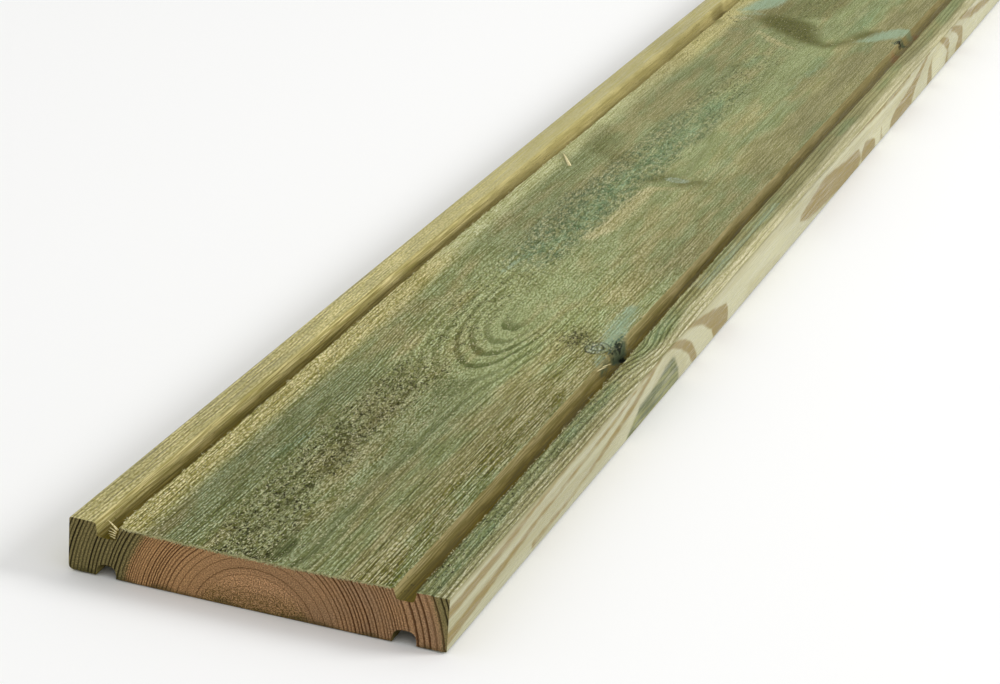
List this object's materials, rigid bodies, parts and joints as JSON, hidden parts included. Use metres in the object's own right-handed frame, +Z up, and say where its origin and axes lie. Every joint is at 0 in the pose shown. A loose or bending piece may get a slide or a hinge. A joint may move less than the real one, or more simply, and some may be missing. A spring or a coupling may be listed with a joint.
{
  "type": "roof sheathing board",
  "caption": "Long flat pressure-treated pine board with a water groove near each edge of its sawn upper face and drip slots beneath, for boarding a roof.",
  "frame": {"origin": "under the middle of the board, on the plane that it lies on", "axes": "+X across the board, +Y along its length away from the end the picture shows, +Z up out of the grooved face"},
  "size_m": [0.145, 1.8, 0.021],
  "materials": {
    "treated_pine": "rough sawn upper face with planed edges, tinted green by the preservative"
  },
  "bodies": {
    "root": {"roof_board": "treated_pine"}
  },
  "joints": []
}
